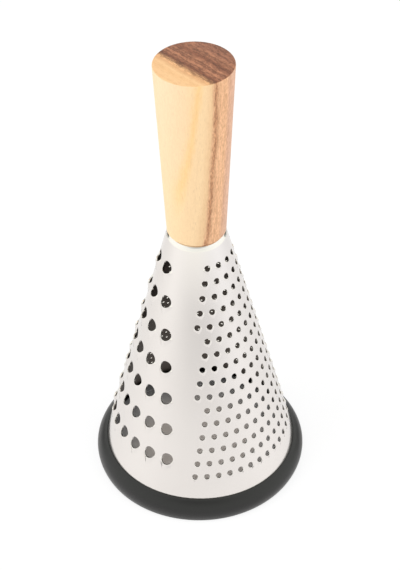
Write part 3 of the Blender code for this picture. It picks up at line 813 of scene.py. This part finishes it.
class Nodes:
    """Short calls for building the nodes of a material or a world."""

    def __init__(self, owner, coordinates="Object"):
        owner.use_nodes = True
        self.owner = owner
        self.tree = owner.node_tree
        self.shader = self.tree.nodes.get("Principled BSDF")
        self.place = self.add("ShaderNodeTexCoord").outputs[coordinates]
        self.x, self.y, self.z = self.split(self.place)

    def add(self, kind, inputs=None, **settings):
        """Add a node with its inputs and settings."""
        node = self.tree.nodes.new(kind)
        for name, value in settings.items():
            setattr(node, name, value)
        self.fill(node, inputs or {})
        return node

    def fill(self, node, inputs):
        """Link the inputs of a node, or set those whose value is plain."""
        for key, value in inputs.items():
            socket = node.inputs[key]
            if isinstance(value, bpy.types.NodeSocket):
                self.tree.links.new(value, socket)
            elif socket.type == "RGBA":
                socket.default_value = (*value, 1.0)
            else:
                socket.default_value = value

    def math(self, operation, *values):
        """Result of a math node."""
        return self.add("ShaderNodeMath", dict(enumerate(values)), operation=operation).outputs["Value"]

    def total(self, first, *others):
        """Sum of values."""
        for value in others:
            first = self.math("ADD", first, value)
        return first

    def product(self, first, *others):
        """Product of values."""
        for value in others:
            first = self.math("MULTIPLY", first, value)
        return first

    def weighted(self, values, weights):
        """Sum of values, each times its weight."""
        return self.total(*[self.product(value, weight) for value, weight in zip(values, weights)])

    def less(self, value, other):
        """A value less another."""
        return self.math("SUBTRACT", value, other)

    def gap(self, value, other):
        """How far a value is from another."""
        return self.math("ABSOLUTE", self.less(value, other))

    def length(self, x, y):
        """Length of a vector in the plane."""
        return self.math("SQRT", self.total(self.product(x, x), self.product(y, y)))

    def vector(self, x, y, z):
        """Vector made from three values."""
        return self.add("ShaderNodeCombineXYZ", {"X": x, "Y": y, "Z": z}).outputs["Vector"]

    def split(self, vector):
        """The three values of a vector."""
        node = self.add("ShaderNodeSeparateXYZ", {"Vector": vector})
        return [node.outputs[axis] for axis in "XYZ"]

    def noise(self, vector, scale, detail, roughness):
        """Noise between 0 and 1."""
        inputs = {"Vector": vector, "Scale": scale, "Detail": detail, "Roughness": roughness}
        return self.add("ShaderNodeTexNoise", inputs).outputs["Fac"]

    def remap(self, value, source, target, interpolation="LINEAR"):
        """Value carried from one range to another and kept inside it."""
        inputs = zip(("Value", "From Min", "From Max", "To Min", "To Max"), (value, *source, *target))
        node = self.add("ShaderNodeMapRange", dict(inputs), interpolation_type=interpolation)
        return node.outputs["Result"]

    def fade_in(self, value, source, interpolation="LINEAR"):
        """0 to 1 as a value passes a range."""
        return self.remap(value, source, (0.0, 1.0), interpolation)

    def fade_out(self, value, source, interpolation="LINEAR"):
        """1 to 0 as a value passes a range."""
        return self.remap(value, source, (1.0, 0.0), interpolation)

    def choose(self, switch, off, on):
        """One of two values, by a switch of 0 or 1."""
        return self.remap(switch, (0.0, 1.0), (off, on))

    def ramp(self, value, stops):
        """Colour ramp over stops (place, red, green, blue)."""
        node = self.add("ShaderNodeValToRGB", {"Fac": value})
        band = node.color_ramp
        while len(band.elements) < len(stops):
            band.elements.new(0.5)
        for element, (position, *colour) in zip(band.elements, stops):
            element.position = position
            element.color = (*colour, 1.0)
        return node.outputs["Color"]

    def mix(self, factor, first, second, blend="MIX"):
        """Two colours mixed by a factor."""
        inputs = {"Factor": factor, "A": first, "B": second}
        return self.add("ShaderNodeMix", inputs, data_type="RGBA", blend_type=blend).outputs["Result"]

    def shade(self, colour, shade, share=1.0):
        """Colour multiplied by a shade, as far as a share says."""
        return self.mix(share, colour, shade, "MULTIPLY")

    def bump(self, height, strength, distance):
        """Normal bent by a height."""
        inputs = {"Height": height, "Strength": strength, "Distance": distance}
        return self.add("ShaderNodeBump", inputs).outputs["Normal"]

    def finish(self, inputs):
        """Fill the shader's inputs and return the material."""
        self.fill(self.shader, inputs)
        return self.owner


def steel(name, bright, dull, roughness):
    """Satin steel: faint cloudiness, and a fine grain along the rolled sheet."""
    nodes = Nodes(bpy.data.materials.new(name))
    turn = nodes.math("ARCTAN2", nodes.x, nodes.y)
    around, up = [nodes.product(value, share) for value, share in zip((turn, nodes.z), STEEL_GRAIN_SHARES)]
    grain = nodes.noise(nodes.vector(around, up, 0.0), *STEEL_GRAIN)
    cloud = nodes.noise(nodes.place, *STEEL_CLOUD)
    fleck = nodes.noise(nodes.place, *STEEL_FLECK)
    mixed = nodes.weighted((cloud, grain), STEEL_WEIGHTS)
    colour = nodes.ramp(mixed, [(place, *colour) for place, colour in zip(NOISE_RANGE, (dull, bright))])
    rough = nodes.remap(mixed, NOISE_RANGE, [roughness * share for share in STEEL_ROUGHNESS_SHARES])
    return nodes.finish({"Base Color": colour, "Metallic": 1.0, "Roughness": rough,
                         "Normal": nodes.bump(fleck, *STEEL_BUMP)})


def grain_noise(nodes, height_share, scale, detail, roughness):
    """Noise drawn out along the wood's grain, the more the smaller the height's share."""
    drawn_out = nodes.vector(nodes.x, nodes.y, nodes.product(nodes.z, height_share))
    return nodes.noise(drawn_out, scale, detail, roughness)


def wood_depth(nodes, across, on_top):
    """Depth of a point in the wood, square to the ragged border of its colours."""
    fall = nodes.less(HANDLE_TOP, nodes.z)
    bend = nodes.product(fall, fall, BORDER_BEND)
    waves, rags = [nodes.less(grain_noise(nodes, *noise), NOISE_MIDDLE) for noise in (WAVE_NOISE, RAG_NOISE)]
    return nodes.total(across, bend, nodes.product(waves, BORDER_WAVE),
                       nodes.product(rags, nodes.choose(on_top, *BORDER_RAGS)))


def side_colour(nodes, depth, along, share):
    """Colour of the handle's side, with its golden streak."""
    drift = nodes.product(nodes.less(nodes.z, STREAK_HEIGHT), STREAK_DRIFT)
    from_streak = nodes.gap(nodes.less(depth, STREAK_DEPTH), drift)
    in_streak = nodes.product(nodes.remap(from_streak, STREAK_FADE, (STREAK_SHARE, 0.0)),
                              nodes.fade_out(along, STREAK_END))
    return nodes.mix(in_streak, nodes.ramp(share, SIDE_COLOURS), STREAK_COLOUR)


def side_shade(nodes, depth, fibre, growth):
    """Grain of the handle's side, stronger in the heartwood and dashed in the dark line."""
    speckle = grain_noise(nodes, *SPECKLE_NOISE)
    grain = nodes.weighted((fibre, growth, speckle), SIDE_GRAIN_WEIGHTS)
    in_heart = nodes.fade_in(depth, SIDE_HEART_START)
    shade = nodes.mix(in_heart, nodes.ramp(grain, PALE_SHADES), nodes.ramp(grain, HEART_SHADES))
    in_line = nodes.fade_out(nodes.gap(depth, LINE_DEPTH), LINE_FADE)
    dashes = nodes.ramp(grain_noise(nodes, *DASH_NOISE), DASH_SHADES)
    return nodes.mix(in_line, shade, nodes.shade(shade, dashes, LINE_SHARE))


def end_shade(nodes, depth, across, along, growth):
    """Grain of the handle's top, mottled, and banded in the heartwood."""
    tilted = nodes.less(across, nodes.product(along, END_TILT))
    mottle = nodes.noise(nodes.vector(tilted, nodes.product(along, MOTTLE_SHARE), nodes.z), *MOTTLE_NOISE)
    bands = nodes.noise(nodes.vector(tilted, nodes.product(along, BAND_SHARE), 0.0), *BAND_NOISE)
    grain = nodes.weighted((mottle, growth), END_GRAIN_WEIGHTS)
    heart = nodes.shade(nodes.ramp(grain, HEART_END_SHADES), nodes.ramp(bands, BAND_SHADES))
    return nodes.mix(nodes.fade_in(depth, END_HEART_START), nodes.ramp(grain, PALE_END_SHADES), heart)


def acacia():
    """Turned wood: pale sapwood in front, brown heartwood behind a dark ragged border."""
    nodes = Nodes(bpy.data.materials.new("acacia"))
    across = nodes.weighted((nodes.x, nodes.y), BORDER_ACROSS)
    along = nodes.weighted((nodes.x, nodes.y), BORDER_ALONG)
    normal = nodes.add("ShaderNodeTexCoord").outputs["Normal"]
    on_top = nodes.fade_in(nodes.split(normal)[2], TOP_NORMALS)
    depth = wood_depth(nodes, across, on_top)
    share = nodes.fade_in(depth, WOOD_DEPTHS)
    fibre = grain_noise(nodes, *FIBRE_NOISE)
    growth = nodes.noise(nodes.vector(depth, nodes.product(nodes.z, GROWTH_SHARE), 0.0), *GROWTH_NOISE)
    figure = nodes.mix(on_top, side_colour(nodes, depth, along, share), nodes.ramp(share, END_COLOURS))
    shade = nodes.mix(on_top, side_shade(nodes, depth, fibre, growth),
                      end_shade(nodes, depth, across, along, growth))
    pore = nodes.remap(grain_noise(nodes, *PORE_NOISE), PORE_FADE, (0.0, PORE_SHARE))
    colour = nodes.mix(pore, nodes.shade(figure, shade), PORE_COLOUR)
    rough = nodes.remap(fibre, NOISE_RANGE, WOOD_ROUGHNESS)
    return nodes.finish({"Base Color": colour, "Roughness": rough, "Normal": nodes.bump(fibre, *WOOD_BUMP)})


def rubber():
    """Matte moulded rubber with a fine stipple."""
    nodes = Nodes(bpy.data.materials.new("rubber"))
    stipple = nodes.noise(nodes.place, *RUBBER_STIPPLE)
    cloud = nodes.noise(nodes.place, *RUBBER_CLOUD)
    rough = nodes.remap(stipple, NOISE_RANGE, RUBBER_ROUGHNESS)
    return nodes.finish({"Base Color": nodes.ramp(cloud, RUBBER_COLOURS), "Roughness": rough,
                         "IOR": RUBBER_IOR, "Sheen Weight": RUBBER_SHEEN,
                         "Sheen Roughness": RUBBER_SHEEN_ROUGHNESS,
                         "Normal": nodes.bump(stipple, *RUBBER_BUMP)})


def dress(item, *materials):
    """Give an object its materials; a new mesh keeps the faces' slots, which clearing would reset."""
    if item.data.materials:
        item.data.materials.clear()
    for material in materials:
        item.data.materials.append(material)


def from_front(nodes):
    """Angle between a place's direction and the middle of the dim sector in front."""
    return nodes.gap(nodes.math("ARCTAN2", nodes.x, nodes.product(nodes.y, -1.0)), FRONT_TURN)


def front_sector(nodes):
    """How deep a place is in the dim sector in front, from 0 to 1."""
    return nodes.fade_out(from_front(nodes), FRONT_FADE, "SMOOTHSTEP")


def back_sectors(nodes):
    """How deep a place is in the two dim sectors at the back, from 0 to 1."""
    from_back = nodes.gap(from_front(nodes), BACK_TURN)
    return nodes.fade_out(from_back, (0.0, BACK_FADE), "SMOOTHSTEP")


def dimmed(nodes, strength, share, depth):
    """Strength with a share of it taken off in proportion to a depth."""
    return nodes.product(strength, nodes.less(1.0, nodes.product(depth, share)))


def mirrored_strength(nodes, distance):
    """Strength of the floor as reflections see it."""
    in_front = nodes.product(front_sector(nodes),
                             nodes.remap(distance, FRONT_RISE, (FRONT_START, 1.0), "SMOOTHSTEP"),
                             nodes.fade_out(distance, FRONT_FALL, "SMOOTHSTEP"))
    strength = nodes.remap(distance, FAR_RISE, (NEAR_STRENGTH, FAR_STRENGTH), "SMOOTHSTEP")
    strength = nodes.product(strength, nodes.remap(distance, HORIZON_RISE, (1.0, HORIZON_SHARE)))
    strength = dimmed(nodes, strength, FRONT_SHARE, in_front)
    strength = dimmed(nodes, strength, BACK_SHARE, back_sectors(nodes))
    aside, behind = CORNER_PLACE
    from_corner = nodes.length(nodes.less(nodes.math("ABSOLUTE", nodes.x), aside),
                               nodes.less(nodes.y, behind))
    return nodes.product(strength, nodes.remap(from_corner, CORNER_REACH, (CORNER_SHARE, 1.0)))


def mirrored_tint(nodes, distance):
    """Tint of the floor as reflections see it: warmer at the left, and greener far away."""
    near = nodes.ramp(nodes.fade_in(nodes.x, SIDE_SPAN), SIDE_TINTS)
    return nodes.mix(nodes.fade_in(distance, HORIZON_RISE), near, HORIZON_TINT)


def stage_floor():
    """Plain pale floor, white to the camera and in reflections, that keeps part of its shadow."""
    corners = [(x * FLOOR_HALF, y * FLOOR_HALF, 0.0) for x, y in ((-1, -1), (1, -1), (1, 1), (-1, 1))]
    floor = mesh_object("floor", corners, [(0, 1, 2, 3)])
    nodes = Nodes(bpy.data.materials.new("floor"))
    colour = nodes.ramp(nodes.noise(nodes.place, *FLOOR_CLOUD), FLOOR_COLOURS)
    dress(floor, nodes.finish({"Base Color": colour, "Roughness": FLOOR_ROUGHNESS}))
    path = nodes.add("ShaderNodeLightPath")
    glossy = path.outputs["Is Glossy Ray"]
    seen = nodes.math("MAXIMUM", path.outputs["Is Camera Ray"], glossy)
    distance = nodes.length(nodes.x, nodes.y)
    # Inside the foot ring the floor glows as painted light, warm at the middle and fading towards the ring
    inner_floor = nodes.choose(glossy, nodes.remap(distance, INNER_FADE, INNER_WHITE), INNER_MIRRORED)
    under_ring = (FOOT_RADIUS, FOOT_RADIUS + RING_STANDOUT)
    open_floor = nodes.remap(distance, under_ring, (inner_floor, FLOOR_WHITE))
    strength = nodes.choose(glossy, FLOOR_STRENGTH, mirrored_strength(nodes, distance))
    direct = nodes.mix(nodes.fade_out(distance, INNER_FADE), WHITE, INNER_TINT)
    tint = nodes.mix(glossy, direct, mirrored_tint(nodes, distance))
    white = nodes.add("ShaderNodeEmission", {"Color": tint, "Strength": strength}).outputs["Emission"]
    parts = (nodes.product(seen, open_floor), nodes.shader.outputs["BSDF"], white)
    blend = nodes.add("ShaderNodeMixShader", dict(enumerate(parts)))
    nodes.fill(nodes.tree.nodes["Material Output"], {"Surface": blend.outputs["Shader"]})


def stage_world():
    """White studio room, even as a light, and dimmer in places as reflections see it."""
    world = bpy.data.worlds.new("studio")
    bpy.context.scene.world = world
    nodes = Nodes(world, "Generated")
    path = nodes.add("ShaderNodeLightPath")
    glossy = path.outputs["Is Glossy Ray"]
    direction = nodes.vector(nodes.math("ABSOLUTE", nodes.x), nodes.y, nodes.z)
    towards = nodes.add("ShaderNodeVectorMath", {0: direction, 1: CORNER_DIRECTION}, operation="DOT_PRODUCT")
    mirrored = nodes.remap(towards.outputs["Value"], CORNER_FADE, (ROOM_STRENGTH, CORNER_SHARE))
    front_share = nodes.remap(nodes.z, ROOM_FRONT_RISE, ROOM_FRONT_SHARES, "SMOOTHSTEP")
    mirrored = dimmed(nodes, mirrored, front_share, front_sector(nodes))
    behind = nodes.product(nodes.fade_in(nodes.y, ROOM_BACK_FADE, "SMOOTHSTEP"),
                           nodes.fade_out(nodes.z, ROOM_TOP_FADE, "SMOOTHSTEP"))
    mirrored = dimmed(nodes, mirrored, ROOM_BACK_SHARE, behind)
    lit = nodes.choose(glossy, WORLD_LIGHT, mirrored)
    strength = nodes.choose(path.outputs["Is Camera Ray"], lit, 1.0)
    tint = nodes.mix(glossy, WHITE, ROOM_TINT)
    nodes.fill(nodes.tree.nodes["Background"], {"Color": tint, "Strength": strength})


def stage_lamps():
    """Two broad soft lamps at the sides, which reflections don't show."""
    for name, place, size, power in LAMPS:
        lamp = bpy.data.lights.new(name, "AREA")
        lamp.shape = "DISK"
        lamp.size = size
        lamp.energy = power
        item = linked(name, lamp)
        item.location = place
        aim = Vector((0.0, 0.0, BODY_TOP / 2)) - Vector(place)
        item.rotation_euler = aim.to_track_quat("-Z", "Y").to_euler()
        item.visible_glossy = False


def stage_camera():
    """The photograph's camera."""
    yaw, pitch, roll = (math.radians(a) for a in (CAMERA_YAW, CAMERA_PITCH, CAMERA_ROLL))
    ahead = Vector((math.sin(yaw) * math.cos(pitch), math.cos(yaw) * math.cos(pitch), -math.sin(pitch)))
    level = Vector((math.cos(yaw), -math.sin(yaw), 0.0))
    above = level.cross(ahead)
    right = level * math.cos(roll) + above * math.sin(roll)
    up = above * math.cos(roll) - level * math.sin(roll)
    camera = bpy.data.cameras.new("photo_camera")
    camera.lens = CAMERA_LENS
    item = linked("photo_camera", camera)
    turn = Matrix((right, up, -ahead)).transposed().to_4x4()
    item.matrix_world = Matrix.Translation(CAMERA_PLACE) @ turn
    bpy.context.scene.camera = item


sheet_piece = punched_sheet()
# The inner faces take the darkened steel, whose colour is painted shade for the dim inside of the cone
dress(sheet_piece, steel("satin_steel", *SATIN_STEEL), steel("inner_steel_painted_shade", *INNER_STEEL_PAINTED_SHADE))
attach(sheet_piece, "root")
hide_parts("grater_body")

handle_piece = handle()
dress(handle_piece, acacia())
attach(handle_piece, "root")
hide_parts("handle")

ring_piece = foot_ring()
dress(ring_piece, rubber())
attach(ring_piece, "root")
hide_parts("base_ring")

dress(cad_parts["clamp_plate"], steel("stamped_plate", *PLATE_STEEL))
dress(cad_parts["screw_washer"], steel("washer_plating", *WASHER_ZINC))
dress(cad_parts["handle_screw"], steel("screw_plating", *SCREW_ZINC))

stage_floor()
stage_world()
stage_lamps()
stage_camera()
bpy.context.scene.view_settings.view_transform = "Standard"
